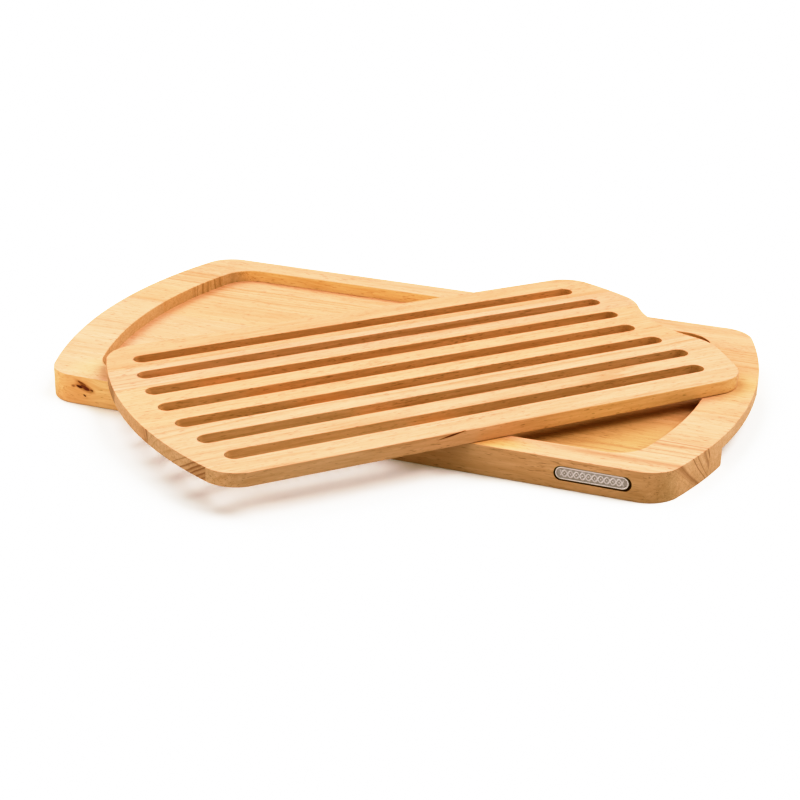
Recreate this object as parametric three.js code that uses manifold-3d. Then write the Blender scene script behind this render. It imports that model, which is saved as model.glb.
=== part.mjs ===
import * as THREE from 'three';
import { mergeVertices } from 'three/addons/utils/BufferGeometryUtils.js';
import Module from 'manifold-3d';

// Bread board: a wooden tray with a shallow recess for crumbs, and a slatted cutting board
// that nests in the recess or lies turned across the rim, as it does here.
// Lengths are in millimetres, +Z is up, and the origin is the centre of the tray's underside.

// Tray blank, glued up from staves that run its whole length
const trayLength = 450;
const trayWidth = 252;
const trayThickness = 19.4;
const trayBow = 25.4;
const trayCorner = 22.2;
const trayTopEdge = 0.5;
const trayBottomEdge = 0.5;

// Recess routed into the tray's top, its outline set in from the tray's by the two rims
const recessEndRim = 29.4;
const recessSideRim = 19.7;
const recessBow = 20.1;
const recessCorner = 23;
const recessDepth = 8.1;
const recessEdge = 0.6;

// Finger grips routed into both ends of the tray from below, leaving a thin lip above
const gripWidth = 117;
const gripDepth = 16;
const gripHeight = 11.8;
const gripCorner = 13;
const gripEdge = 1.6;

// Slatted board, cut to drop into the recess
const slattedThickness = 8.9;
const slattedClearance = 1;
const slattedEdge = 0.5;
const slotCount = 7;
const slotShare = 0.458;
const slotEdge = 0.5;
const slotRail = 19.4;
const slotMarginLeft = 18.1;
const slotMarginRight = 23.1;

// Finger notch, a hollow in the slatted board's right end that blends into the bow
const notchDepth = 15.2;
const notchRadius = 80;
const notchBlend = 34;
const notchMargin = 18.9;

// Where the slatted board lies on the rim
const restTurnDegrees = 47.55;
const restX = 21.7;
const restY = -40;
const restGap = 0.3;

// Metal plate let into a pocket in the tray's front edge, beside the right corner
const pocketLength = 46.4;
const pocketHeight = 9.3;
const pocketDepth = 2.2;
const pocketFromCorner = 2.8;
const plateLength = 44.2;
const plateHeight = 8.3;
const plateThickness = 1.6;
const plateShift = 0.5;
const plateRise = 0.3;
const plateBorder = 0.7;
const plateFieldDepth = 0.25;

// Glue lines, counted from a board's middle: shares of half the tray's width, and for the
// slatted board shares of the slots' pitch
const trayGlueShares = [-0.603, -0.227, 0.145, 0.423, 0.686];
const slattedGlueShares = [-3.34, -1.06, 1.34, 2.5];
const glueFilm = 0.1;
const overrun = 5;

// Facets along each kind of arc
const bowSteps = 24;
const cornerSteps = 10;
const blendSteps = 6;
const notchSteps = 12;
const slotSteps = 12;
const edgeSteps = 3;

const woodRoughness = 0.55;
const trayTones = [0xdfae72, 0xe8c08a, 0xe3b67c, 0xe6bb84, 0xd9a668, 0xe2b379];
const slattedTones = [0xe6bd88, 0xeac594, 0xe9c28d, 0xe0b37a, 0xe7bf8a];

const wasm = await Module();
wasm.setup();

const trayBoard = {
  halfLength: trayLength / 2,
  halfWidth: trayWidth / 2,
  bow: trayBow,
  corner: trayCorner,
};

const recessBoard = {
  halfLength: trayBoard.halfLength - recessEndRim,
  halfWidth: trayBoard.halfWidth - recessSideRim,
  bow: recessBow,
  corner: recessCorner,
};

const slattedBoard = {
  halfLength: recessBoard.halfLength - slattedClearance,
  halfWidth: recessBoard.halfWidth - slattedClearance,
  bow: recessBow,
  corner: recessCorner,
  notched: true,
};

// The slots are spread evenly between the slatted board's two side rails, and each takes its
// share of the pitch.
const slotPitch = (2 * (slattedBoard.halfWidth - slotRail)) / (slotCount - 1 + slotShare);
const slotWidth = slotShare * slotPitch;

// Circles that an outline is built from: the bow through both corners, and the corner inside it.
function boardCircles({ halfLength, halfWidth, bow, corner }) {
  const bowRadius = (halfWidth ** 2 + bow ** 2) / (2 * bow);
  const bowX = halfLength - bowRadius;
  const cornerY = halfWidth - corner;
  const cornerX = bowX + Math.sqrt((bowRadius - corner) ** 2 - cornerY ** 2);
  const bowAngle = Math.atan2(cornerY, cornerX - bowX);
  return { bowRadius, bowX, cornerX, cornerY, bowAngle };
}

// The notch's circle bites into the bow, and a blend circle touches both.
function notchCircles(board) {
  const { bowRadius, bowX } = boardCircles(board);
  const notchX = board.halfLength - notchDepth + notchRadius;
  const reach = notchX - bowX;
  const inner = bowRadius - notchBlend;
  const outer = notchRadius + notchBlend;
  const along = (inner ** 2 - outer ** 2 + reach ** 2) / (2 * reach);
  const blendX = bowX + along;
  const blendY = Math.sqrt(inner ** 2 - along ** 2);
  const bowAngle = Math.atan2(blendY, along);
  const notchAngle = Math.atan2(blendY, notchX - blendX);
  return { notchX, blendX, blendY, bowAngle, notchAngle };
}

// Points of an arc without its last one, so that arcs chain into a closed outline.
function arc(x, y, radius, from, to, steps) {
  const curve = new THREE.ArcCurve(x, y, radius, from, to, to < from);
  return curve.getPoints(steps).slice(0, -1);
}

// Right end of an outline, from its lower corner up to its upper one.
function rightEnd(board, grow) {
  const { bowRadius, bowX, bowAngle } = boardCircles(board);
  const bow = (from, to, steps) => arc(bowX, 0, bowRadius + grow, from, to, steps);
  if (!board.notched) {
    return bow(-bowAngle, bowAngle, bowSteps);
  }
  const notch = notchCircles(board);
  const blend = (y, from, to) => arc(notch.blendX, y, notchBlend + grow, from, to, blendSteps);
  const turn = notch.notchAngle;
  return [
    ...bow(-bowAngle, -notch.bowAngle, blendSteps),
    ...blend(-notch.blendY, -notch.bowAngle, turn),
    ...arc(notch.notchX, 0, notchRadius - grow, Math.PI + turn, Math.PI - turn, notchSteps),
    ...blend(notch.blendY, -turn, notch.bowAngle),
    ...bow(notch.bowAngle, bowAngle, blendSteps),
  ];
}

// Whole outline of a board, grown outward all round by a given amount.
function boardOutline(board, grow) {
  const { bowRadius, bowX, cornerX, cornerY, bowAngle } = boardCircles(board);
  const half = Math.PI / 2;
  const corner = (x, y, from, to) => arc(x, y, board.corner + grow, from, to, cornerSteps);
  return [
    ...rightEnd(board, grow),
    ...corner(cornerX, cornerY, bowAngle, half),
    ...corner(-cornerX, cornerY, half, Math.PI - bowAngle),
    ...arc(-bowX, 0, bowRadius + grow, Math.PI - bowAngle, Math.PI + bowAngle, bowSteps),
    ...corner(-cornerX, -cornerY, Math.PI + bowAngle, 3 * half),
    ...corner(cornerX, -cornerY, -half, -bowAngle),
  ];
}

// Outline with two round ends, from one tip to the other along X.
function slotOutline(left, right, y, width, grow) {
  const radius = width / 2;
  const half = Math.PI / 2;
  return [
    ...arc(right - radius, y, radius + grow, -half, half, slotSteps),
    ...arc(left + radius, y, radius + grow, half, 3 * half, slotSteps),
  ];
}

// Outline of a grip: a rectangle with round inner corners that runs out past the tray's end.
function gripOutline(grow) {
  const inner = trayBoard.halfLength - gripDepth;
  const outer = trayBoard.halfLength + overrun;
  const side = gripWidth / 2;
  const half = Math.PI / 2;
  const corner = (y, from, to) => arc(inner + gripCorner, y, gripCorner + grow, from, to, cornerSteps);
  return [
    new THREE.Vector2(outer, -side - grow),
    new THREE.Vector2(outer, side + grow),
    ...corner(side - gripCorner, half, Math.PI),
    ...corner(gripCorner - side, Math.PI, 3 * half),
  ];
}

// Closed solid through outlines stacked upward, all with the same number of points.
function loft(outlineAt, levels) {
  const rings = levels.map(({ grow }) => outlineAt(grow));
  const count = rings[0].length;
  const positions = rings.flatMap((ring, level) => ring.flatMap(({ x, y }) => [x, y, levels[level].height]));
  const faces = [];
  for (let start = 0; start < count * (rings.length - 1); start += count) {
    for (let i = 0; i < count; i++) {
      const here = start + i;
      const next = start + ((i + 1) % count);
      faces.push(here, next, next + count, here, next + count, here + count);
    }
  }
  const top = count * (rings.length - 1);
  for (const [i, j, k] of THREE.ShapeUtils.triangulateShape(rings[0], [])) {
    faces.push(i, k, j);
  }
  for (const [i, j, k] of THREE.ShapeUtils.triangulateShape(rings.at(-1), [])) {
    faces.push(top + i, top + j, top + k);
  }
  const geometry = new THREE.BufferGeometry();
  geometry.setAttribute('position', new THREE.Float32BufferAttribute(positions, 3));
  geometry.setIndex(faces);
  return geometry;
}

// Levels of a rounded edge that swells upward from a shrunken outline, or the reverse of that.
function roundedFoot(radius, height) {
  return edgeAngles().map((angle) => ({
    grow: -radius * (1 - Math.sin(angle)),
    height: height + radius * (1 - Math.cos(angle)),
  }));
}

function roundedHead(radius, height) {
  return edgeAngles().map((angle) => ({
    grow: -radius * (1 - Math.cos(angle)),
    height: height - radius * (1 - Math.sin(angle)),
  }));
}

// Levels of a cutter that rounds over the edge it leaves at a top or a bottom face.
function flaredHead(radius, height) {
  const flare = edgeAngles().map((angle) => ({
    grow: radius * (1 - Math.cos(angle)),
    height: height - radius * (1 - Math.sin(angle)),
  }));
  return [...flare, { grow: radius, height: height + overrun }];
}

function flaredFoot(radius, height) {
  const flare = edgeAngles().map((angle) => ({
    grow: radius * (1 - Math.sin(angle)),
    height: height + radius * (1 - Math.cos(angle)),
  }));
  return [{ grow: radius, height: height - overrun }, ...flare];
}

function edgeAngles() {
  return Array.from({ length: edgeSteps + 1 }, (_, step) => ((Math.PI / 2) * step) / edgeSteps);
}

function toSolid(geometry) {
  geometry.deleteAttribute('normal');
  geometry.deleteAttribute('uv');
  const merged = mergeVertices(geometry);
  const vertProperties = merged.attributes.position.array;
  const triVerts = new Uint32Array(merged.index.array);
  return new wasm.Manifold(new wasm.Mesh({ numProp: 3, vertProperties, triVerts }));
}

function toMesh(name, solid, color, roughness, metalness) {
  const { vertProperties, triVerts } = solid.getMesh();
  const geometry = new THREE.BufferGeometry();
  geometry.setAttribute('position', new THREE.BufferAttribute(vertProperties, 3));
  geometry.setIndex(new THREE.BufferAttribute(triVerts, 1));
  geometry.computeVertexNormals();
  const material = new THREE.MeshStandardMaterial({ color, roughness, metalness });
  const mesh = new THREE.Mesh(geometry, material);
  mesh.name = name;
  return mesh;
}

// Half the length of a bowed board at a given distance from its middle line.
function bowEdge(board, y) {
  const { bowRadius, bowX } = boardCircles(board);
  return bowX + Math.sqrt(bowRadius ** 2 - y ** 2);
}

function trayBlank() {
  const levels = [...roundedFoot(trayBottomEdge, 0), ...roundedHead(trayTopEdge, trayThickness)];
  return toSolid(loft((grow) => boardOutline(trayBoard, grow), levels));
}

function recessCutter() {
  const floor = { grow: 0, height: trayThickness - recessDepth };
  const levels = [floor, ...flaredHead(recessEdge, trayThickness)];
  return toSolid(loft((grow) => boardOutline(recessBoard, grow), levels));
}

function gripCutters() {
  const levels = [...flaredFoot(gripEdge, 0), { grow: 0, height: gripHeight }];
  const right = loft(gripOutline, levels);
  const left = right.clone().rotateZ(Math.PI);
  return [toSolid(right), toSolid(left)];
}

// Middle of the plate's pocket, which ends just short of where the front corner starts to turn.
function pocketCentre() {
  const { cornerX } = boardCircles(trayBoard);
  return new THREE.Vector3(
    cornerX - pocketFromCorner - pocketLength / 2,
    -trayBoard.halfWidth,
    trayThickness / 2 + plateRise,
  );
}

// Stands a flat outline's solid up against the tray's front, its top facing forward.
function againstFront(geometry, shift, depth) {
  const { x, y, z } = pocketCentre();
  return geometry.rotateX(Math.PI / 2).translate(x + shift, y + depth, z);
}

function pocketCutter() {
  const outline = () => slotOutline(-pocketLength / 2, pocketLength / 2, 0, pocketHeight, 0);
  const pocket = loft(outline, [{ height: 0 }, { height: pocketDepth + overrun }]);
  return toSolid(againstFront(pocket, 0, pocketDepth));
}

function plateSolid() {
  const outline = (grow) => slotOutline(-plateLength / 2, plateLength / 2, 0, plateHeight, grow);
  const blank = loft(outline, [
    { grow: 0, height: 0 },
    { grow: 0, height: plateThickness - plateBorder / 2 },
    { grow: -plateBorder / 2, height: plateThickness },
  ]);
  const field = loft(outline, [
    { grow: -plateBorder - plateFieldDepth, height: plateThickness - plateFieldDepth },
    { grow: -plateBorder, height: plateThickness },
    { grow: -plateBorder, height: plateThickness + overrun },
  ]);
  const seat = pocketDepth - glueFilm;
  const place = (geometry) => toSolid(againstFront(geometry, -plateShift, seat));
  return place(blank).subtract(place(field));
}

function slattedBlank() {
  const levels = [...roundedFoot(slattedEdge, 0), ...roundedHead(slattedEdge, slattedThickness)];
  return toSolid(loft((grow) => boardOutline(slattedBoard, grow), levels));
}

// One slot; its tips keep a margin to the bowed ends and to the notch.
function slotCutter(y) {
  const { notchX } = notchCircles(slattedBoard);
  const bow = bowEdge(slattedBoard, y);
  const tipCircle = notchRadius + notchMargin;
  const notchTip = notchX - Math.sqrt(Math.max(tipCircle ** 2 - y ** 2, 0));
  const left = slotMarginLeft - bow;
  const right = Math.min(bow - slotMarginRight, notchTip);
  const levels = [...flaredFoot(slotEdge, 0), ...flaredHead(slotEdge, slattedThickness)];
  return toSolid(loft((grow) => slotOutline(left, right, y, slotWidth, grow), levels));
}

// Saws a board lengthwise along its glue lines, from front to back.
function staves(board, solid, glueLines) {
  const edges = [-board.halfWidth - overrun, ...glueLines, board.halfWidth + overrun];
  return edges.slice(1).map((back, i) => {
    const front = edges[i] + glueFilm / 2;
    const width = back - glueFilm / 2 - front;
    const reach = trayThickness + overrun;
    const slab = new THREE.BoxGeometry(trayLength + overrun, width, 2 * reach);
    slab.translate(0, front + width / 2, 0);
    return solid.intersect(toSolid(slab));
  });
}

function makeTray() {
  const cutters = [recessCutter(), ...gripCutters(), pocketCutter()];
  const board = cutters.reduce((wood, cutter) => wood.subtract(cutter), trayBlank());
  const glueLines = trayGlueShares.map((share) => share * trayBoard.halfWidth);
  const tray = new THREE.Group();
  staves(trayBoard, board, glueLines).forEach((stave, i) => {
    tray.add(toMesh(`tray_stave_${i + 1}`, stave, trayTones[i], woodRoughness, 0));
  });
  tray.add(toMesh('metal_plate', plateSolid(), 0xc4bfb6, 0.38, 0.9));
  return tray;
}

function makeSlattedBoard() {
  const rows = Array.from({ length: slotCount }, (_, row) => (row - (slotCount - 1) / 2) * slotPitch);
  const board = rows.reduce((wood, y) => wood.subtract(slotCutter(y)), slattedBlank());
  const glueLines = slattedGlueShares.map((share) => share * slotPitch);
  const slatted = new THREE.Group();
  staves(slattedBoard, board, glueLines).forEach((stave, i) => {
    slatted.add(toMesh(`slatted_stave_${i + 1}`, stave, slattedTones[i], woodRoughness, 0));
  });
  slatted.position.set(restX, restY, trayThickness + restGap);
  slatted.rotation.z = THREE.MathUtils.degToRad(restTurnDegrees);
  return slatted;
}

const breadBoard = new THREE.Group();
breadBoard.add(makeTray(), makeSlattedBoard());

export default breadBoard;
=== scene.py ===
import bpy
import math
import numpy as np
from mathutils import Matrix, Vector


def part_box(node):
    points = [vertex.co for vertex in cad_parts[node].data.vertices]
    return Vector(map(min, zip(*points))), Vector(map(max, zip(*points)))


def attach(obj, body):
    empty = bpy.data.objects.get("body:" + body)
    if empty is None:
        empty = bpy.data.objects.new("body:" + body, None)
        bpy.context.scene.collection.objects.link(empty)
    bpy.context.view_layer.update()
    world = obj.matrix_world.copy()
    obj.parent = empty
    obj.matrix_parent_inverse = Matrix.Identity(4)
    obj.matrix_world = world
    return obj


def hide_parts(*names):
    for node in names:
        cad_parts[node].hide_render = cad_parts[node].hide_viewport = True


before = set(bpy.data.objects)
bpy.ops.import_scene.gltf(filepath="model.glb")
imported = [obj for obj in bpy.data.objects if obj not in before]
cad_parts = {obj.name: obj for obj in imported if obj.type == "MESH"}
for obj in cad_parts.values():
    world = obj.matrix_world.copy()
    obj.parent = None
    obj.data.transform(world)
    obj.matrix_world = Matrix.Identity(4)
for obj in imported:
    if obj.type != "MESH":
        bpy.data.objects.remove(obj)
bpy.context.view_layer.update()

mm = 0.001

# Camera fitted to the outlines in the photograph: angles in radians, place in metres.
view = {
    "place": (0.3763, -1.0152, 0.4433),
    "yaw": -0.3619,
    "pitch": 0.4017,
    "roll": 0.0159,
    "focalPixels": 1751.2,
    "imagePixels": 800.0,
    "sensor": 36.0,
}


def makeCamera():
    yaw, pitch, roll = view["yaw"], view["pitch"], view["roll"]
    ahead = Vector((math.sin(yaw) * math.cos(pitch), math.cos(yaw) * math.cos(pitch),
                    -math.sin(pitch)))
    level = Vector((math.cos(yaw), -math.sin(yaw), 0.0))
    above = level.cross(ahead)
    right = level * math.cos(roll) + above * math.sin(roll)
    up = above * math.cos(roll) - level * math.sin(roll)
    data = bpy.data.cameras.new("photoView")
    data.sensor_width = view["sensor"]
    data.lens = view["focalPixels"] / view["imagePixels"] * view["sensor"]
    data.dof.use_dof = False
    camera = bpy.data.objects.new("photoView", data)
    turn = Matrix((right, up, -ahead)).transposed().to_4x4()
    camera.matrix_world = Matrix.Translation(view["place"]) @ turn
    bpy.context.collection.objects.link(camera)
    bpy.context.scene.camera = camera


makeCamera()
print("camera placed")


# Short helpers for building node trees.
def add(tree, kind, inputs=None, **settings):
    node = tree.nodes.new(kind)
    for name, value in settings.items():
        setattr(node, name, value)
    for name, value in (inputs or {}).items():
        feed(tree, value, node.inputs[name])
    return node


def feed(tree, value, socket):
    if isinstance(value, bpy.types.NodeSocket):
        tree.links.new(value, socket)
    else:
        socket.default_value = value


def maths(tree, operation, a, b=0.0, c=0.0):
    node = add(tree, "ShaderNodeMath", operation=operation)
    for value, socket in zip((a, b, c), node.inputs):
        feed(tree, value, socket)
    return node.outputs[0]


def vectors(tree, operation, a, b=None):
    node = add(tree, "ShaderNodeVectorMath", {0: a}, operation=operation)
    if b is not None:
        feed(tree, b, node.inputs[1])
    return node.outputs["Value" if operation in ("LENGTH", "DOT_PRODUCT") else "Vector"]


def mixColour(tree, factor, a, b, blend="MIX"):
    node = add(tree, "ShaderNodeMix", data_type="RGBA", blend_type=blend)
    feed(tree, factor, node.inputs[0])
    feed(tree, a, node.inputs[6])
    feed(tree, b, node.inputs[7])
    return node.outputs[2]


def smoothStep(tree, value, low, high):
    node = add(tree, "ShaderNodeMapRange", {"Value": value, "From Min": low, "From Max": high},
               interpolation_type="SMOOTHSTEP")
    return node.outputs[0]


# Millimetres turned into metres, and below into one over metres.
def metres(lengths):
    return tuple(length * mm for length in lengths)


def perMetre(lengths):
    return tuple(1.0 / (length * mm) for length in lengths)


def noise(tree, vector, detail=2.0, roughness=0.5):
    node = add(tree, "ShaderNodeTexNoise", {"Vector": vector, "Scale": 1.0, "Detail": detail,
                                            "Roughness": roughness})
    return node.outputs[0]


# Noise whose blobs are this many millimetres long, wide and high.
def blobs(tree, vector, size, detail=2.0, roughness=0.5):
    return noise(tree, vectors(tree, "MULTIPLY", vector, perMetre(size)), detail, roughness)


# Noise swinging about 0.
def centred(tree, value):
    return maths(tree, "SUBTRACT", value, 0.5)


# All the outputs are plain values.
def newGroup(name, inputs, outputs):
    group = bpy.data.node_groups.new(name, "ShaderNodeTree")
    for label, kind in inputs.items():
        group.interface.new_socket(label, in_out="INPUT", socket_type="NodeSocket" + kind)
    for label in outputs:
        group.interface.new_socket(label, in_out="OUTPUT", socket_type="NodeSocketFloat")
    entry = group.nodes.new("NodeGroupInput")
    leave = group.nodes.new("NodeGroupOutput")
    return group, entry.outputs, leave.inputs


def useGroup(tree, group, inputs):
    return add(tree, "ShaderNodeGroup", inputs, node_tree=group).outputs


def newMaterial(name):
    material = bpy.data.materials.new(name)
    material.use_nodes = True
    return material, material.node_tree, material.node_tree.nodes["Principled BSDF"]


# Plain pale floor under four wide soft lights, with angles in degrees: azimuth 0 is behind the
# board and 90 to its right. The tone curve is a print's: a steeper middle and a soft shoulder,
# with blue falling off sooner, so that shadows on wood turn golden.
studio = {
    "floorHalf": 30.0,
    "floorDrop": 0.0001,
    "floorSeen": 0.97,
    "floorBounce": 0.63,
    "floorRoughness": 0.9,
    "worldLight": 0.22,
    "worldTint": (0.94, 1.0, 0.84, 1.0),
    "worldSeen": 1.0,
    "worldSeenTint": (1.0, 1.0, 1.0, 1.0),
    "lamps": {
        "backRight": {"azimuth": 64.0, "height": 50.0, "spread": 54.0, "strength": 3.0},
        "left": {"azimuth": 298.0, "height": 50.0, "spread": 45.0, "strength": 1.95},
        "frontLeft": {"azimuth": 220.0, "height": 27.0, "spread": 50.0, "strength": 1.38},
        "frontRight": {"azimuth": 118.0, "height": 25.0, "spread": 50.0, "strength": 0.25},
    },
    "contrast": 1.57,
    "pivot": 0.5,
    "blueContrast": 1.25,
    "bluePivot": 0.4,
    "shoulder": 0.6,
    "brightest": 2.0,
    "curvePoints": 24,
}


def makeFloor():
    half, drop = studio["floorHalf"], studio["floorDrop"]
    mesh = bpy.data.meshes.new("floor")
    corners = [(-half, -half, -drop), (half, -half, -drop), (half, half, -drop),
               (-half, half, -drop)]
    mesh.from_pydata(corners, [], [(0, 1, 2, 3)])
    floor = bpy.data.objects.new("floor", mesh)
    bpy.context.collection.objects.link(floor)
    material, tree, shader = newMaterial("paleFloor")
    seen = add(tree, "ShaderNodeLightPath").outputs["Is Camera Ray"]
    bounce, shown = studio["floorBounce"], studio["floorSeen"]
    feed(tree, mixColour(tree, seen, (bounce, bounce, bounce, 1.0), (shown, shown, shown, 1.0)),
         shader.inputs["Base Color"])
    shader.inputs["Roughness"].default_value = studio["floorRoughness"]
    shader.inputs["Specular IOR Level"].default_value = 0.0
    mesh.materials.append(material)


def makeLamp(name, azimuth, height, spread, strength):
    data = bpy.data.lights.new(name, "SUN")
    data.angle = math.radians(spread)
    data.energy = strength
    lamp = bpy.data.objects.new(name, data)
    turn, rise = math.radians(azimuth), math.radians(height)
    towards = Vector((math.sin(turn) * math.cos(rise), math.cos(turn) * math.cos(rise),
                      math.sin(rise)))
    lamp.rotation_euler = towards.to_track_quat("Z", "Y").to_euler()
    bpy.context.collection.objects.link(lamp)


def makeWorld():
    world = bpy.data.worlds.new("studio")
    world.use_nodes = True
    tree = world.node_tree
    seen = add(tree, "ShaderNodeLightPath").outputs["Is Camera Ray"]
    background = tree.nodes["Background"]
    feed(tree, mixColour(tree, seen, studio["worldTint"], studio["worldSeenTint"]),
         background.inputs["Color"])
    span = studio["worldSeen"] - studio["worldLight"]
    feed(tree, maths(tree, "MULTIPLY_ADD", seen, span, studio["worldLight"]),
         background.inputs["Strength"])
    bpy.context.scene.world = world


def drawCurve(points, light, tone):
    points[0].location = (0.0, 0.0)
    points[1].location = (float(light[-1]), float(tone[-1]))
    for x, y in zip(light[1:-1], tone[1:-1]):
        points.new(float(x), float(y))


# Tone curve: a power law about the pivot, bent over to white above the shoulder. Blue then follows
# its own power law below its own pivot.
def setTone():
    settings = bpy.context.scene.view_settings
    settings.view_transform = "Standard"
    settings.use_curve_mapping = True
    light = np.linspace(0.0, 1.0, studio["curvePoints"]) ** 2 * studio["brightest"]
    tone = studio["pivot"] * (light / studio["pivot"]) ** studio["contrast"]
    start = studio["shoulder"]
    bent = start + (1.0 - start) * (1.0 - np.exp(-(tone - start) / (1.0 - start)))
    share = light / studio["bluePivot"]
    blue = np.where(share < 1.0, studio["bluePivot"] * share ** studio["blueContrast"], light)
    mapping = settings.curve_mapping
    mapping.clip_max_x = studio["brightest"]
    mapping.use_clip = False
    _, _, blueCurve, wholeCurve = mapping.curves
    drawCurve(wholeCurve.points, light, np.where(tone < start, tone, bent))
    drawCurve(blueCurve.points, light, blue)
    mapping.update()


makeFloor()
for name, lamp in studio["lamps"].items():
    makeLamp(name, **lamp)
makeWorld()
setTone()
print("studio made")

# The wood figure: the size of each noise's blobs along, across and up (mm), how far rings waver
# (mm), how late in a year they darken, how far apart years lie in the noise that picks the rings
# that show, and between which noise values rings and pores show.
figure = {
    "bend": {"size": (260.0, 60.0, 60.0)},
    "waver": {"size": (45.0, 9.0, 9.0)},
    "clouds": {"size": (120.0, 14.0, 14.0)},
    "streaks": {"size": (28.0, 1.9, 1.9), "detail": 3.0, "roughness": 0.6},
    "fibres": {"size": (9.0, 0.45, 0.45), "roughness": 0.6},
    "dashes": {"size": (5.5, 0.62, 0.62), "detail": 1.0},
    "clumps": {"size": (60.0, 8.0, 8.0)},
    "waverReach": 2.5,
    "lateness": 3.5,
    "lateEnd": 0.9,
    "yearStep": 7.31,
    "ringChance": (0.3, 0.65),
    "clumping": 0.25,
    "poreChance": (0.62, 0.74),
}


# X runs along the fibres and the pith is the X axis. Rings are circles about the pith that wander,
# each darkening outward to a sharp end. Streaks, fibres and pores are long noises.
def makeGrainGroup():
    group, given, out = newGroup(
        "woodGrain", {"Vector": "Vector", "Ring Gap": "Float", "Wander": "Float"},
        ("Rings", "Clouds", "Streaks", "Fibres", "Pores"))
    place = given["Vector"]
    bend = centred(group, blobs(group, place, **figure["bend"]))
    waver = centred(group, blobs(group, place, **figure["waver"]))
    flat = vectors(group, "MULTIPLY", place, (0.0, 1.0, 1.0))
    radius = vectors(group, "LENGTH", flat)
    radius = maths(group, "MULTIPLY_ADD", bend, given["Wander"], radius)
    radius = maths(group, "MULTIPLY_ADD", waver, figure["waverReach"] * mm, radius)
    turns = maths(group, "DIVIDE", radius, given["Ring Gap"])
    year = maths(group, "FRACT", turns)
    late = maths(group, "MULTIPLY", maths(group, "POWER", year, figure["lateness"]),
                 smoothStep(group, year, 1.0, figure["lateEnd"]))
    count = maths(group, "MULTIPLY", maths(group, "FLOOR", turns), figure["yearStep"])
    shown = smoothStep(group, noise(group, count, 0.0), *figure["ringChance"])
    feed(group, maths(group, "MULTIPLY", late, shown), out["Rings"])
    feed(group, blobs(group, place, **figure["clouds"]), out["Clouds"])
    feed(group, blobs(group, place, **figure["streaks"]), out["Streaks"])
    feed(group, blobs(group, place, **figure["fibres"]), out["Fibres"])
    dashes = blobs(group, place, **figure["dashes"])
    clumps = centred(group, blobs(group, place, **figure["clumps"]))
    dashes = maths(group, "MULTIPLY_ADD", clumps, figure["clumping"], dashes)
    feed(group, smoothStep(group, dashes, *figure["poreChance"]), out["Pores"])
    return group


# A dark mark: between which reaches its core and its halo fade, where 1 is its half sizes, and the
# noise that frays its edge.
markShape = {"core": (1.15, 0.8), "halo": (2.6, 0.7), "detail": 4.0, "roughness": 0.65}


# A ragged dark mark: 1 in its core, and a halo that fades to 0 well outside it.
def makeMarkGroup():
    group, given, out = newGroup(
        "darkMark", {"Vector": "Vector", "Raggedness": "Float"}, ("Core", "Halo"))
    rough = noise(group, given["Vector"], markShape["detail"], markShape["roughness"])
    ragged = centred(group, rough)
    reach = vectors(group, "LENGTH", given["Vector"])
    reach = maths(group, "ADD", reach, maths(group, "MULTIPLY", ragged, given["Raggedness"]))
    feed(group, smoothStep(group, reach, *markShape["core"]), out["Core"])
    feed(group, smoothStep(group, reach, *markShape["halo"]), out["Halo"])
    return group


# A followed ring: how it fades before its line, how many widths it reaches behind it, and the
# size and reach of its waver (mm).
ringShape = {"fade": 1.5, "behind": 0.35, "waver": (55.0, 30.0, 14.0), "waverReach": 5.0}


# One growth ring: dark at its line, fading slowly before it and quickly behind it.
def makeRingGroup():
    group, given, out = newGroup(
        "growthRing", {"Ring Place": "Float", "Line": "Float", "Width": "Float"}, ("Mask",))
    past = maths(group, "SUBTRACT", given["Ring Place"], given["Line"])
    away = maths(group, "DIVIDE", past, given["Width"])
    before = maths(group, "POWER", smoothStep(group, away, -1.0, 0.0), ringShape["fade"])
    behind = smoothStep(group, away, ringShape["behind"], 0.0)
    feed(group, maths(group, "MULTIPLY", before, behind), out["Mask"])
    return group


# Rings lean as they run down the end grain. A ring through (y, down), with down measured from the
# top face, meets that face at (y + lean in x down) / (1 + spread x down).
def makeLeanGroup():
    group, given, out = newGroup(
        "ringLean", {"Vector": "Vector", "Top": "Float", "Lean In": "Float", "Spread": "Float"},
        ("Ring Place",))
    parts = add(group, "ShaderNodeSeparateXYZ", {0: given["Vector"]}).outputs
    waver = centred(group, blobs(group, given["Vector"], ringShape["waver"]))
    down = maths(group, "SUBTRACT", given["Top"], parts[2])
    across = maths(group, "MULTIPLY_ADD", waver, ringShape["waverReach"] * mm, parts[1])
    level = maths(group, "MULTIPLY_ADD", down, given["Spread"], 1.0)
    inward = maths(group, "MULTIPLY_ADD", down, given["Lean In"], across)
    feed(group, maths(group, "DIVIDE", inward, level), out["Ring Place"])
    return group


# How far a face looks along a direction: 0 up to the low share and 1 from the high one.
def makeFacingGroup():
    group, given, out = newGroup(
        "facing", {"Normal": "Vector", "Direction": "Vector", "Low": "Float", "High": "Float"},
        ("Mask",))
    share = vectors(group, "DOT_PRODUCT", given["Normal"], given["Direction"])
    share = maths(group, "ABSOLUTE", share)
    feed(group, smoothStep(group, share, given["Low"], given["High"]), out["Mask"])
    return group


# A soft patch: 0 from its half sizes outward, and 1 within its core. Its scale is 1 / half sizes.
def makePatchGroup():
    group, given, out = newGroup(
        "softPatch", {"Vector": "Vector", "Centre": "Vector", "Scale": "Vector", "Core": "Float"},
        ("Mask",))
    moved = vectors(group, "SUBTRACT", given["Vector"], given["Centre"])
    reach = vectors(group, "LENGTH", vectors(group, "MULTIPLY", moved, given["Scale"]))
    feed(group, smoothStep(group, reach, 1.0, given["Core"]), out["Mask"])
    return group


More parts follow.
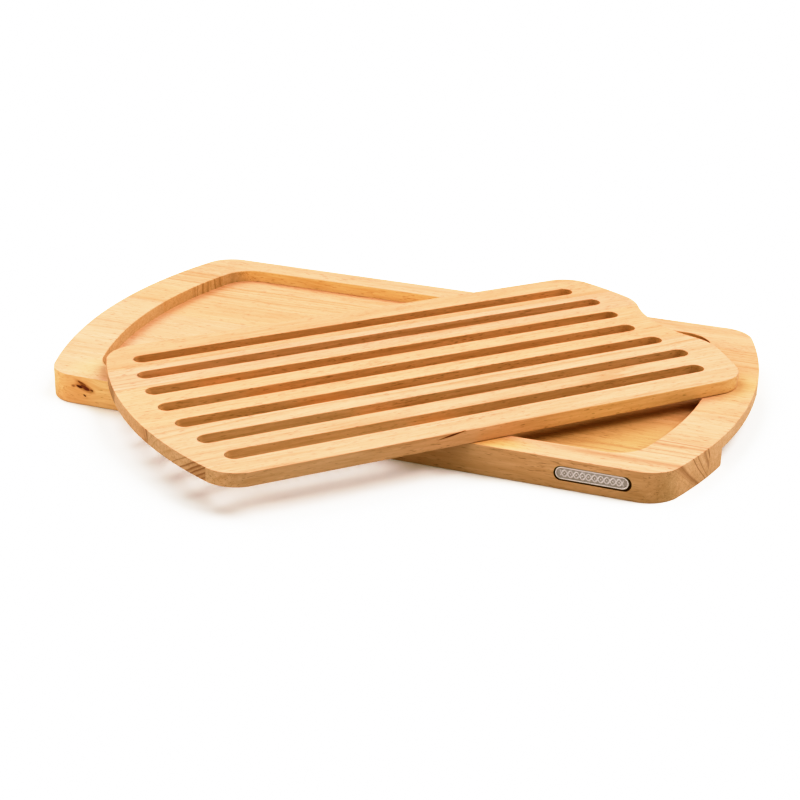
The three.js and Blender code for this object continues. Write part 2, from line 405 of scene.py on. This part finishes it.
# Routed walls are the upright faces that stand inside a board. The board's outer ends are left out
# by their bow, which lies past the reach.
def makeWallsGroup():
    group, given, out = newGroup(
        "routedWalls", {"Vector": "Vector", "Upright": "Float", "Inside": "Float",
                        "Reach": "Float", "Bow": "Float", "Above": "Float"}, ("Mask", "Right"))
    parts = add(group, "ShaderNodeSeparateXYZ", {0: given["Vector"]}).outputs
    share = maths(group, "DIVIDE", parts[1], given["Inside"])
    bow = maths(group, "MULTIPLY", maths(group, "MULTIPLY", share, share), given["Bow"])
    reach = maths(group, "ADD", maths(group, "ABSOLUTE", parts[0]), bow)
    inside = maths(group, "LESS_THAN", maths(group, "ABSOLUTE", parts[1]), given["Inside"])
    for mask in (maths(group, "GREATER_THAN", parts[2], given["Above"]),
                 maths(group, "LESS_THAN", reach, given["Reach"]), given["Upright"]):
        inside = maths(group, "MULTIPLY", inside, mask)
    feed(group, inside, out["Mask"])
    feed(group, maths(group, "GREATER_THAN", parts[0], 0.0), out["Right"])
    return group


grainGroup = makeGrainGroup()
markGroup = makeMarkGroup()
ringGroup = makeRingGroup()
leanGroup = makeLeanGroup()
facingGroup = makeFacingGroup()
patchGroup = makePatchGroup()
wallsGroup = makeWallsGroup()

# What all the wood shares: colours in linear light, how strongly each figure shows, between which
# shares a face counts as looking up or along the grain, how wide the cores of soft patches are,
# and how far along the grain (m) each stave's figure is slid from the next one's.
wood = {
    "pale": (0.70, 0.42, 0.30, 1.0),
    "dark": (0.48, 0.24, 0.125, 1.0),
    "pore": (0.27, 0.115, 0.05, 1.0),
    "ring": (0.30, 0.13, 0.06, 1.0),
    # Upright faces darker and more golden: partly the side grain's own tone, partly painted shade.
    "edgeToneAndShade": (0.93, 0.92, 0.83, 1.0),
    "endTone": (0.91, 0.98, 0.96, 1.0),
    "knotHalo": (0.42, 0.15, 0.05, 1.0),
    "ground": 0.22,
    "clouds": 0.5,
    "streaks": 0.75,
    "edgeStreaks": 1.1,
    "fibres": 0.45,
    "pores": 0.5,
    "upShares": (0.3, 0.8),
    "endShares": (0.35, 0.9),
    "washCore": 0.2,
    "swirlCore": 0.1,
    "roughness": 0.52,
    "roughSwing": 0.12,
    "specular": 0.3,
    "bump": 0.25,
    "bumpDepth": 0.12,
    "poreDepth": -1.2,
    "slideStep": 0.7,
}

# A board has its turn about Z and, where it is turned, the middle of its underside, its thickness,
# how far its figure is slid along the grain (m), its routed walls, and its staves from front to
# back. Other lengths are in millimetres in the board's own frame, with X along its grain. Tones
# multiply the wood's colour.
# routed: painted light and shade on the routed walls, as tones along the grain and across it at the
#   left and right ends. The walls lie within a half width, a reach along the board that draws in by
#   the bow at that width, and above a height.
# A stave has a tint, where its pith lies across and up, its ring gap and wander, and how strongly
# its rings show. Some staves also have:
# marks: each a centre, half sizes, tilt about Y, raggedness, halo strength and colour.
# swirl: grain that flows round a knot: its centre, half sizes, and the share it is pushed aside.
# lines: growth rings followed one by one, each its line on the top face, its width and strength.
#   They run down the end grain, leaning out by lean[0] + lean[1] x line for each millimetre down,
#   show fully past the second of the two places along the board, and show by the share onTop on
#   the other faces.
# washes: soft patches of another tone on upright faces, or on faces that look up where level.
#   Most are painted light and shade; those at the slatted board's left end are the wood's own tone.
# pocketShade: painted shade, a dark tone over the gap round the plate, which lies in shadow.
barkBlack = (0.120, 0.012, 0.010, 1.0)
barkRed = (0.205, 0.040, 0.032, 1.0)
barkBrown = (0.260, 0.085, 0.035, 1.0)
barkPale = (0.450, 0.200, 0.100, 1.0)
# Painted shade: the recess floor darkened and turned golden, as in shadow.
recessPaintedShade = {"level": True, "centre": (120.0, -60.0, 11.3), "half": (170.0, 90.0, 4.0),
              "tone": (0.82, 0.84, 0.66, 1.0)}
# Painted light: the shadow on the rim by the slatted board's right tip lifted and turned golden.
rimPaintedLight = {"level": True, "centre": (208.0, 22.0, 19.4), "half": (26.0, 34.0, 4.0),
           "tone": (1.0, 1.11, 0.98, 1.0)}
# Painted shadow: the back wall's right corner darkened where the slatted board shades it.
cornerPaintedShadow = {"centre": (176.0, 96.0, 15.0), "half": (45.0, 24.0, 14.0),
               "tone": (0.50, 0.40, 0.35, 1.0)}
tray = {
    "turn": 0.0,
    "thickness": 19.4,
    "slide": 0.0,
    "routed": {"inside": 107.0, "reach": 203.0, "bow": 20.1, "above": 10.5,
               "along": (1.41, 1.74, 1.60, 1.0), "left": (0.98, 1.08, 1.10, 1.0),
               "right": (1.0, 1.0, 1.0, 1.0)},
    "staves": {
        "tray_stave_1": {
            "tint": (1.0, 1.0, 1.0, 1.0), "pith": (-150.0, -60.0),
            "gap": 9.0, "wander": 14.0, "rings": 0.25,
            "marks": [
                {"centre": (-176.8, -126.0, 14.7), "half": (3.3, 3.0, 0.8),
                 "tilt": 0.41, "ragged": 0.7, "halo": 0.4, "core": barkBrown},
                {"centre": (-174.6, -126.0, 11.9), "half": (3.6, 3.0, 1.3),
                 "tilt": 0.35, "ragged": 1.0, "halo": 0.7, "core": barkRed},
                {"centre": (-178.7, -126.0, 12.2), "half": (2.2, 3.0, 0.8),
                 "tilt": 0.2, "ragged": 0.9, "halo": 0.5, "core": barkBlack},
                {"centre": (-169.9, -126.0, 10.9), "half": (1.2, 2.0, 0.65),
                 "tilt": 0.3, "ragged": 0.6, "halo": 0.2, "core": barkBrown},
                {"centre": (-183.2, -126.0, 12.1), "half": (0.9, 2.0, 0.6),
                 "tilt": 0.0, "ragged": 0.5, "halo": 0.6, "core": barkPale},
                {"centre": (-175.2, -126.0, 6.6), "half": (1.1, 2.0, 0.5),
                 "tilt": 0.5, "ragged": 0.4, "halo": 0.15, "core": barkBlack},
            ],
            "swirl": {"centre": (-176.0, -126.0, 12.0), "half": (17.0, 17.0, 12.0), "push": 0.8},
            "lean": (-1.082, -0.02), "along": (60.0, 175.0), "onTop": 0.5,
            "lines": ((-110.4, 9.0, 0.60), (-110.4, 1.8, 0.85), (-112.8, 1.2, 0.55),
                      (-116.2, 0.9, 0.4), (-96.9, 1.3, 0.95), (-91.8, 1.3, 0.75),
                      (-104.6, 0.8, 0.2), (-83.5, 5.0, 0.58), (-79.0, 2.2, 0.92),
                      (-121.0, 1.0, 0.25)),
            "washes": [
                # Painted light from a softbox on the left end of the front, with the golden wood
                # round the knot.
                {"centre": (-176.0, -122.0, 10.0), "half": (85.0, 22.0, 30.0),
                 "tone": (1.42, 1.37, 1.16, 1.0)},
                # Painted light: lifts the slatted board's shadow on the front beside the knot.
                {"centre": (-155.0, -126.0, 7.0), "half": (27.0, 20.0, 30.0),
                 "tone": (1.13, 1.28, 1.36, 1.0)},
                # Painted shade: the front face darkened along its middle and right.
                {"centre": (90.0, -126.0, 10.0), "half": (190.0, 12.0, 30.0),
                 "tone": (0.94, 0.97, 0.93, 1.0)},
                # Painted shade on the front's right corner.
                {"centre": (194.0, -124.0, 8.0), "half": (34.0, 20.0, 28.0),
                 "tone": (0.88, 0.88, 0.84, 1.0)},
                # Painted shade: golden shadow tint where the slatted board's shadow falls on the
                # front rim.
                {"level": True, "centre": (82.0, -119.0, 19.4), "half": (50.0, 16.0, 4.0),
                 "tone": (0.96, 0.96, 0.70, 1.0)},
                # Painted light: lifts the shadow on the rim by the slatted board's left tip.
                {"level": True, "centre": (-168.0, -108.0, 19.4), "half": (34.0, 26.0, 4.0),
                 "tone": (1.0, 1.08, 1.0, 1.0)},
                recessPaintedShade,
            ],
            "pocketShade": {"centre": (158.5, -124.5, 10.0), "half": (24.5, 1.3, 5.6),
                          "tone": (0.26, 0.17, 0.13, 1.0)},
        },
        "tray_stave_2": {
            "tint": (1.0, 1.0, 1.0, 1.0), "pith": (-48.0, -46.0),
            "gap": 7.0, "wander": 22.0, "rings": 0.4,
            "washes": [recessPaintedShade],
        },
        "tray_stave_3": {
            "tint": (1.0, 0.98, 0.96, 1.0), "pith": (8.0, -30.0),
            "gap": 6.0, "wander": 22.0, "rings": 0.45,
            "washes": [recessPaintedShade, rimPaintedLight],
        },
        "tray_stave_4": {
            "tint": (0.99, 0.945, 0.88, 1.0), "pith": (60.0, -70.0),
            "gap": 8.0, "wander": 16.0, "rings": 0.25,
            "washes": [rimPaintedLight],
        },
        "tray_stave_5": {
            "tint": (0.99, 0.955, 0.90, 1.0), "pith": (190.0, 30.0),
            "gap": 4.5, "wander": 16.0, "rings": 0.7,
            "lean": (0.0, 0.0), "along": (-150.0, -185.0), "onTop": 0.3,
            "lines": ((56.0, 5.0, 0.25), (59.4, 1.8, 0.5), (65.4, 2.6, 0.55),
                      (70.8, 2.0, 0.5), (78.0, 1.8, 0.35), (83.0, 4.0, 0.3)),
            "washes": [cornerPaintedShadow],
        },
        "tray_stave_6": {
            "tint": (1.0, 0.97, 0.94, 1.0), "pith": (60.0, -90.0),
            "gap": 9.0, "wander": 16.0, "rings": 0.25,
            "washes": [cornerPaintedShadow],
        },
    },
}

splitDark = (0.125, 0.018, 0.003, 1.0)
splitBrown = (0.190, 0.070, 0.015, 1.0)
splitPale = (0.560, 0.310, 0.200, 1.0)
slattedBoard = {
    "middle": (21.7, -40.0, 19.7),
    "turn": math.radians(47.55),
    "thickness": 8.9,
    "slide": 5.0,
    "routed": {"inside": 97.0, "reach": 185.0, "bow": 17.0, "above": -1.0,
               "along": (1.05, 1.13, 1.07, 1.0), "left": (0.80, 0.86, 0.98, 1.0),
               "right": (0.95, 0.90, 0.78, 1.0)},
    "staves": {
        "slatted_stave_1": {
            "tint": (1.0, 1.0, 1.0, 1.0), "pith": (-150.0, -60.0),
            "gap": 7.0, "wander": 16.0, "rings": 0.3,
            "marks": [
                {"centre": (-35.5, -104.7, 8.9), "half": (4.5, 0.6, 0.6),
                 "tilt": 0.0, "ragged": 0.8, "halo": 0.1, "core": splitPale},
                {"centre": (-33.9, -105.3, 7.5), "half": (9.3, 2.0, 0.38),
                 "tilt": -0.155, "ragged": 0.4, "halo": 0.12, "core": splitBrown},
                {"centre": (-34.0, -105.3, 7.5), "half": (5.6, 2.0, 0.5),
                 "tilt": -0.155, "ragged": 0.4, "halo": 0.12, "core": splitDark},
            ],
            "washes": [
                # Painted light: bounce light from the tray brightens the front edge's right part.
                {"centre": (110.0, -105.0, 4.5), "half": (150.0, 8.0, 20.0),
                 "tone": (1.17, 1.34, 1.20, 1.0)},
                # Painted shade: the front edge's left part darkened.
                {"centre": (-130.0, -105.0, 4.5), "half": (120.0, 8.0, 20.0),
                 "tone": (0.86, 0.92, 0.92, 1.0)},
            ],
        },
        "slatted_stave_2": {
            "tint": (1.0, 1.0, 1.0, 1.0), "pith": (-70.0, -40.0),
            "gap": 5.0, "wander": 20.0, "rings": 0.6,
            "lean": (1.75, 0.0), "along": (-150.0, -178.0), "onTop": 0.2,
            "lines": ((-72.0, 1.8, 0.65), (-80.2, 3.0, 0.85), (-85.7, 3.6, 0.85),
                      (-90.0, 3.0, 0.9), (-95.5, 3.2, 0.8), (-100.5, 3.0, 0.7)),
            "washes": [{"centre": (-183.0, -86.0, 2.0), "half": (20.0, 20.0, 12.0),
                        "tone": (0.86, 0.78, 0.74, 1.0)}],
        },
        "slatted_stave_3": {
            "tint": (1.02, 0.97, 0.92, 1.0), "pith": (20.0, -90.0),
            "gap": 8.0, "wander": 16.0, "rings": 0.2,
            "lean": (-0.35, 0.0), "along": (-150.0, -180.0), "onTop": 0.2,
            "lines": ((-25.6, 3.5, 0.7), (-22.0, 1.5, 0.4), (-9.0, 1.5, 0.25)),
            "washes": [{"centre": (-193.0, -28.0, 3.0), "half": (14.0, 16.0, 12.0),
                        "tone": (0.88, 0.80, 0.75, 1.0)}],
        },
        "slatted_stave_4": {
            "tint": (1.0, 0.97, 0.97, 1.0), "pith": (50.0, -30.0),
            "gap": 6.0, "wander": 20.0, "rings": 0.5,
            "lean": (0.6, 0.0), "along": (-125.0, -175.0), "onTop": 0.42,
            "lines": ((36.5, 2.4, 0.6), (41.0, 2.2, 0.6), (45.5, 2.6, 0.65),
                      (51.0, 2.0, 0.5), (57.0, 2.4, 0.5)),
            "washes": [{"centre": (-190.0, 50.0, 4.0), "half": (20.0, 40.0, 20.0),
                        "tone": (0.80, 0.74, 0.70, 1.0)}],
        },
        "slatted_stave_5": {
            "tint": (0.985, 0.93, 0.87, 1.0), "pith": (120.0, -70.0),
            "gap": 8.0, "wander": 16.0, "rings": 0.25,
        },
    },
}


# Coordinates in a board's own frame, with X along its grain: a turned board's are turned back.
def boardPlace(tree, board):
    place = add(tree, "ShaderNodeTexCoord").outputs["Object"]
    if not board["turn"]:
        return place
    moved = vectors(tree, "SUBTRACT", place, metres(board["middle"]))
    turn = add(tree, "ShaderNodeVectorRotate", {"Vector": moved, "Angle": -board["turn"]},
               rotation_type="Z_AXIS")
    return turn.outputs[0]


def facing(tree, direction, shares):
    normal = add(tree, "ShaderNodeTexCoord").outputs["Normal"]
    low, high = shares
    given = {"Normal": normal, "Direction": direction, "Low": low, "High": high}
    return useGroup(tree, facingGroup, given)["Mask"]


def softPatch(tree, place, patch, core):
    given = {"Vector": place, "Centre": metres(patch["centre"]), "Scale": perMetre(patch["half"]),
             "Core": core}
    return useGroup(tree, patchGroup, given)["Mask"]


def addSwirl(tree, place, swirl):
    share = softPatch(tree, place, swirl, wood["swirlCore"])
    moved = vectors(tree, "SUBTRACT", place, metres(swirl["centre"]))
    aside = vectors(tree, "MULTIPLY", moved, (0.0, 0.0, -swirl["push"]))
    pushed = add(tree, "ShaderNodeVectorMath", {0: aside, "Scale": share}, operation="SCALE")
    return vectors(tree, "ADD", place, pushed.outputs[0])


def addLines(tree, place, colour, ends, stave, thickness):
    lean, spread = stave["lean"]
    given = {"Vector": place, "Top": thickness * mm, "Lean In": -lean, "Spread": spread / mm}
    ringPlace = useGroup(tree, leanGroup, given)["Ring Place"]
    shade = 0.0
    for line, width, strength in stave["lines"]:
        ring = {"Ring Place": ringPlace, "Line": line * mm, "Width": width * mm}
        mask = useGroup(tree, ringGroup, ring)["Mask"]
        shade = maths(tree, "MAXIMUM", maths(tree, "MULTIPLY", mask, strength), shade)
    along = add(tree, "ShaderNodeSeparateXYZ", {0: place}).outputs[0]
    reached = smoothStep(tree, along, *metres(stave["along"]))
    shade = maths(tree, "MULTIPLY", shade, reached)
    face = maths(tree, "MULTIPLY_ADD", ends, 1.0 - stave["onTop"], stave["onTop"])
    shade = maths(tree, "MULTIPLY", shade, face)
    return mixColour(tree, shade, colour, wood["ring"])


# A soft patch that multiplies the colour: mostly painted light and shade.
def addWash(tree, place, colour, upward, edge, wash):
    face = upward if wash.get("level") else edge
    share = maths(tree, "MULTIPLY", softPatch(tree, place, wash, wood["washCore"]), face)
    return mixColour(tree, share, colour, wash["tone"], "MULTIPLY")


# Routed walls get painted light and shade: one tone along the grain and another across it.
def addRouted(tree, place, colour, edge, ends, walls):
    given = {"Vector": place, "Upright": edge, "Inside": walls["inside"] * mm,
             "Reach": walls["reach"] * mm, "Bow": walls["bow"] * mm, "Above": walls["above"] * mm}
    found = useGroup(tree, wallsGroup, given)
    across = mixColour(tree, found["Right"], walls["left"], walls["right"])
    tone = mixColour(tree, ends, walls["along"], across)
    return mixColour(tree, found["Mask"], colour, tone, "MULTIPLY")


def addMark(tree, place, colour, mark):
    moved = vectors(tree, "SUBTRACT", place, metres(mark["centre"]))
    tilted = add(tree, "ShaderNodeVectorRotate", {"Vector": moved, "Angle": -mark["tilt"]},
                 rotation_type="Y_AXIS").outputs[0]
    scaled = vectors(tree, "MULTIPLY", tilted, perMetre(mark["half"]))
    shape = useGroup(tree, markGroup, {"Vector": scaled, "Raggedness": mark["ragged"]})
    halo = maths(tree, "MULTIPLY", shape["Halo"], mark["halo"])
    colour = mixColour(tree, halo, colour, wood["knotHalo"])
    return mixColour(tree, shape["Core"], colour, mark["core"])


# Painted shade: a dark tone over the gap round the plate.
def addPocketShade(tree, place, colour, gap):
    moved = vectors(tree, "SUBTRACT", place, metres(gap["centre"]))
    scaled = vectors(tree, "MULTIPLY", moved, perMetre(gap["half"]))
    parts = add(tree, "ShaderNodeSeparateXYZ", {0: vectors(tree, "ABSOLUTE", scaled)}).outputs
    reach = maths(tree, "MAXIMUM", maths(tree, "MAXIMUM", parts[0], parts[1]), parts[2])
    inside = maths(tree, "LESS_THAN", reach, 1.0)
    return mixColour(tree, inside, colour, gap["tone"], "MULTIPLY")


def makeWood(nodeName, stave, board, slide):
    material, tree, shader = newMaterial("wood_" + nodeName)
    place = boardPlace(tree, board)
    flow = addSwirl(tree, place, stave["swirl"]) if "swirl" in stave else place
    pith = (-slide, *metres(stave["pith"]))
    local = vectors(tree, "SUBTRACT", flow, pith)
    grain = useGroup(tree, grainGroup, {"Vector": local, "Ring Gap": stave["gap"] * mm,
                                        "Wander": stave["wander"] * mm})
    upward = facing(tree, (0.0, 0.0, 1.0), wood["upShares"])
    edge = maths(tree, "SUBTRACT", 1.0, upward)
    shade = maths(tree, "MULTIPLY_ADD", grain["Rings"], stave["rings"], wood["ground"])
    more = wood["edgeStreaks"] - wood["streaks"]
    streaks = maths(tree, "MULTIPLY_ADD", edge, more, wood["streaks"])
    for name, strength in (("Clouds", wood["clouds"]), ("Streaks", streaks),
                           ("Fibres", wood["fibres"])):
        shade = maths(tree, "MULTIPLY_ADD", centred(tree, grain[name]), strength, shade)
    shade = maths(tree, "MAXIMUM", shade, 0.0)
    colour = mixColour(tree, shade, wood["pale"], wood["dark"])
    pores = maths(tree, "MULTIPLY", grain["Pores"], wood["pores"])
    colour = mixColour(tree, pores, colour, wood["pore"])
    colour = mixColour(tree, 1.0, colour, stave["tint"], "MULTIPLY")
    # Upright faces darker and more golden: partly the side grain's own tone, partly painted shade.
    colour = mixColour(tree, edge, colour, wood["edgeToneAndShade"], "MULTIPLY")
    alongGrain = (math.cos(board["turn"]), math.sin(board["turn"]), 0.0)
    ends = facing(tree, alongGrain, wood["endShares"])
    colour = mixColour(tree, ends, colour, wood["endTone"], "MULTIPLY")
    if "lines" in stave:
        colour = addLines(tree, place, colour, ends, stave, board["thickness"])
    for wash in stave.get("washes", []):
        colour = addWash(tree, place, colour, upward, edge, wash)
    colour = addRouted(tree, place, colour, edge, ends, board["routed"])
    for mark in stave.get("marks", []):
        colour = addMark(tree, place, colour, mark)
    if "pocketShade" in stave:
        colour = addPocketShade(tree, place, colour, stave["pocketShade"])
    feed(tree, colour, shader.inputs["Base Color"])
    smoothest = wood["roughness"] - wood["roughSwing"] / 2.0
    rough = maths(tree, "MULTIPLY_ADD", grain["Streaks"], wood["roughSwing"], smoothest)
    feed(tree, rough, shader.inputs["Roughness"])
    shader.inputs["Specular IOR Level"].default_value = wood["specular"]
    height = maths(tree, "MULTIPLY_ADD", grain["Pores"], wood["poreDepth"], grain["Fibres"])
    bump = add(tree, "ShaderNodeBump", {"Height": height, "Strength": wood["bump"],
                                        "Distance": wood["bumpDepth"] * mm})
    feed(tree, bump.outputs[0], shader.inputs["Normal"])
    return material


# How near points merge (mm), and the angle past which an edge stays sharp (degrees).
smoothing = {"merge": 0.002, "sharp": 40.0}


# Merges a node's loose triangles and shades it smooth across its rounded edges.
def makeSmoothGroup():
    group = bpy.data.node_groups.new("smoothEdges", "GeometryNodeTree")
    group.interface.new_socket("Geometry", in_out="INPUT", socket_type="NodeSocketGeometry")
    group.interface.new_socket("Geometry", in_out="OUTPUT", socket_type="NodeSocketGeometry")
    entry = group.nodes.new("NodeGroupInput")
    leave = group.nodes.new("NodeGroupOutput")
    merge = add(group, "GeometryNodeMergeByDistance",
                {"Geometry": entry.outputs[0], "Distance": smoothing["merge"] * mm})
    faces = add(group, "GeometryNodeSetShadeSmooth",
                {0: merge.outputs[0], "Shade Smooth": True}, domain="FACE")
    angle = add(group, "GeometryNodeInputMeshEdgeAngle").outputs[0]
    sharp = add(group, "FunctionNodeCompare", {0: angle, 1: math.radians(smoothing["sharp"])},
                operation="GREATER_THAN")
    edges = add(group, "GeometryNodeSetShadeSmooth",
                {0: faces.outputs[0], "Selection": sharp.outputs[0], "Shade Smooth": False},
                domain="EDGE")
    feed(group, edges.outputs[0], leave.inputs[0])
    return group


smoothGroup = makeSmoothGroup()


def smoothPiece(piece):
    piece.modifiers.new("smoothEdges", "NODES").node_group = smoothGroup
    piece.modifiers.new("flatFaces", "WEIGHTED_NORMAL").keep_sharp = True


for board in (tray, slattedBoard):
    for count, (nodeName, stave) in enumerate(board["staves"].items()):
        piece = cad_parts[nodeName]
        slide = wood["slideStep"] * count + board["slide"]
        piece.data.materials.clear()
        piece.data.materials.append(makeWood(nodeName, stave, board, slide))
        smoothPiece(piece)
print("wood staves dressed")

# The plate's face in millimetres: a raised border round a sunken field, with a cast ornament of
# two strands that cross along the middle and a bead in each eye between them. Below are the
# metal's colours in linear light, and how its clouds and pits change it.
plate = {
    "edgeRound": 0.5,
    "border": 0.85,
    "slope": 0.35,
    "fieldDepth": 0.36,
    "backRound": 0.15,
    "roundSteps": 7,
    "step": 0.13,
    "reach": 2.0,
    "period": 7.2,
    "bandHalf": 19.4,
    "strandHalf": 0.8,
    "beadHalf": 0.75,
    "relief": 0.26,
    "stipple": 0.12,
    "stippleGrid": 0.42,
    "stippleCells": (160, 40),
    "seed": 11,
    "bright": (0.66, 0.58, 0.55, 1.0),
    "dull": (0.42, 0.355, 0.335, 1.0),
    "dullShares": (0.45, 1.35),
    "clouds": {"size": (1.6, 1.6, 1.6), "detail": 3.0, "roughness": 0.6},
    "cloudShare": 0.5,
    "metallic": 0.6,
    "roughness": 0.4,
    "dullRoughness": 0.25,
    "pits": {"size": (0.3, 0.3, 0.3), "detail": 3.0, "roughness": 0.6},
    "pitStrength": 0.3,
    "pitDepth": 0.05,
}


# A round crown over a strand or bead: (1 - away^2)^2, with away as a share of its half width.
def crown(away):
    return np.clip(1.0 - away ** 2, 0.0, 1.0) ** 2


# A share that starts and ends gently: t^2 (3 - 2 t).
def ease(t):
    return t * t * (3.0 - 2.0 * t)


# Height of the cast ornament over the field: crowns along two strands z = +-reach sin(2 pi x /
# period) and on the beads between them, and a stipple eased between random heights on a grid.
def ornament(x, z):
    turn = 2.0 * math.pi / plate["period"]
    slant = np.sqrt(1.0 + (plate["reach"] * turn * np.cos(turn * x)) ** 2)
    height = np.zeros_like(x)
    for side in (-1.0, 1.0):
        away = np.abs(z - side * plate["reach"] * np.sin(turn * x)) / slant
        height = np.maximum(height, crown(away / plate["strandHalf"]))
    half = plate["period"] / 2.0
    eye = (np.abs(x) / half) % 1.0 - 0.5
    height = np.maximum(height, crown(np.hypot(eye * half, z) / plate["beadHalf"]))
    height = height * np.clip(plate["bandHalf"] - np.abs(x), 0.0, 1.0)
    cells = plate["stippleCells"]
    heights = np.random.default_rng(plate["seed"]).random(cells)
    across = x / plate["stippleGrid"] + cells[0] / 2.0
    up = z / plate["stippleGrid"] + cells[1] / 2.0
    i, j = np.floor(across).astype(int), np.floor(up).astype(int)
    a, b = ease(across - i), ease(up - j)
    low = heights[i, j] * (1.0 - a) + heights[i + 1, j] * a
    high = heights[i, j + 1] * (1.0 - a) + heights[i + 1, j + 1] * a
    return height * plate["relief"] + (low * (1.0 - b) + high * b - 0.5) * plate["stipple"]


# Insets and depths behind the front plane, from the back's middle to the face's middle: a quarter
# circle round the back edge and one round the front edge, r (1 - sin) by r (1 - cos), then the flat
# border and a slope eased down to the field. The last value is how many come before the face.
def plateProfile(halfHeight, thickness):
    bend = np.linspace(0.0, math.pi / 2.0, plate["roundSteps"])
    back, edge = plate["backRound"], plate["edgeRound"]
    inset = [[halfHeight], back * (1.0 - np.sin(bend)), edge * (1.0 - np.cos(bend))]
    depth = [[thickness], thickness - back * (1.0 - np.cos(bend)), edge * (1.0 - np.sin(bend))]
    before = sum(map(len, inset))
    face = np.arange(edge, halfHeight, plate["step"])[1:]
    share = np.clip((face - plate["border"]) / plate["slope"], 0.0, 1.0)
    inset += [face, [halfHeight]]
    depth += [plate["fieldDepth"] * ease(share), [plate["fieldDepth"]]]
    return np.concatenate(inset), np.concatenate(depth), before


# A ring round the plate at inset d lies at spine + (halfHeight - d) * outward, where the spine is
# the middle line between the two end arcs. At d = halfHeight the ring closes onto the spine.
def plateSurface(halfLength, halfHeight, thickness):
    reach = halfLength - halfHeight
    along = np.linspace(reach, -reach, int(2.0 * reach / plate["step"]) + 1)
    bend = np.linspace(0.0, math.pi, int(math.pi * halfHeight / plate["step"]) + 2)[1:-1]
    turned, count, arc = np.zeros_like(bend), len(along), len(bend)
    spine = np.concatenate([along, turned - reach, along[::-1], turned + reach])
    level = np.zeros_like(along)
    outX = np.concatenate([level, -np.sin(bend), level, np.sin(bend)])
    outZ = np.concatenate([level + 1.0, np.cos(bend), level - 1.0, -np.cos(bend)])
    first = np.arange(count)
    seam = np.concatenate([first, np.full(arc, count - 1), first[::-1], np.full(arc, 0)])
    insets, depths, before = plateProfile(halfHeight, thickness)
    points, faces, sunk = [], [], []
    previous, size = None, 0
    for number, (inset, depth) in enumerate(zip(insets, depths)):
        closed, faced = inset >= halfHeight, number >= before
        x = along if closed else spine + (halfHeight - inset) * outX
        z = level if closed else (halfHeight - inset) * outZ
        y = np.full_like(x, depth)
        if faced:
            y = y - ornament(x, z) * (depth / plate["fieldDepth"]) ** 2
        points.append(np.stack([x, y, z], axis=1))
        sunk.append(np.clip(y / plate["fieldDepth"], 0.0, 1.0) if faced else np.zeros_like(x))
        ring = size + (seam if closed else np.arange(len(spine)))
        if previous is not None:
            quads = np.stack([previous, np.roll(previous, -1), np.roll(ring, -1), ring], axis=1)
            faces += [list(dict.fromkeys(quad)) for quad in quads.tolist()]
        previous, size = ring, size + len(x)
    return np.concatenate(points), faces, np.concatenate(sunk)


# The attribute sunk runs from 0 on the border and the ornament's tops to 1 in the field.
def makePlateMetal():
    material, tree, shader = newMaterial("castPlate")
    place = add(tree, "ShaderNodeTexCoord").outputs["Object"]
    sunk = add(tree, "ShaderNodeAttribute", attribute_name="sunk").outputs["Fac"]
    cloud = blobs(tree, place, **plate["clouds"])
    cloudy = maths(tree, "MULTIPLY_ADD", cloud, plate["cloudShare"], sunk)
    dull = smoothStep(tree, cloudy, *plate["dullShares"])
    colour = mixColour(tree, dull, plate["bright"], plate["dull"])
    feed(tree, colour, shader.inputs["Base Color"])
    shader.inputs["Metallic"].default_value = plate["metallic"]
    rough = maths(tree, "MULTIPLY_ADD", dull, plate["dullRoughness"], plate["roughness"])
    feed(tree, rough, shader.inputs["Roughness"])
    pits = blobs(tree, place, **plate["pits"])
    bump = add(tree, "ShaderNodeBump", {"Height": pits, "Strength": plate["pitStrength"],
                                        "Distance": plate["pitDepth"] * mm})
    feed(tree, bump.outputs[0], shader.inputs["Normal"])
    return material


def makePlatePiece():
    low, high = (np.array(corner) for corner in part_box("metal_plate"))
    middle = (low + high) / 2.0
    halfLength, thickness, halfHeight = (high - low) / mm * (0.5, 1.0, 0.5)
    points, faces, sunk = plateSurface(halfLength, halfHeight, thickness)
    points = points * mm + (middle[0], low[1], middle[2])
    mesh = bpy.data.meshes.new("platePiece")
    mesh.from_pydata(points.tolist(), [], faces)
    mesh.polygons.foreach_set("use_smooth", [True] * len(faces))
    values = mesh.attributes.new("sunk", "FLOAT", "POINT").data
    values.foreach_set("value", sunk.astype(np.float32))
    mesh.materials.append(makePlateMetal())
    piece = bpy.data.objects.new("platePiece", mesh)
    bpy.context.collection.objects.link(piece)
    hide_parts("metal_plate")
    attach(piece, "tray")


makePlatePiece()
print("metal plate made")
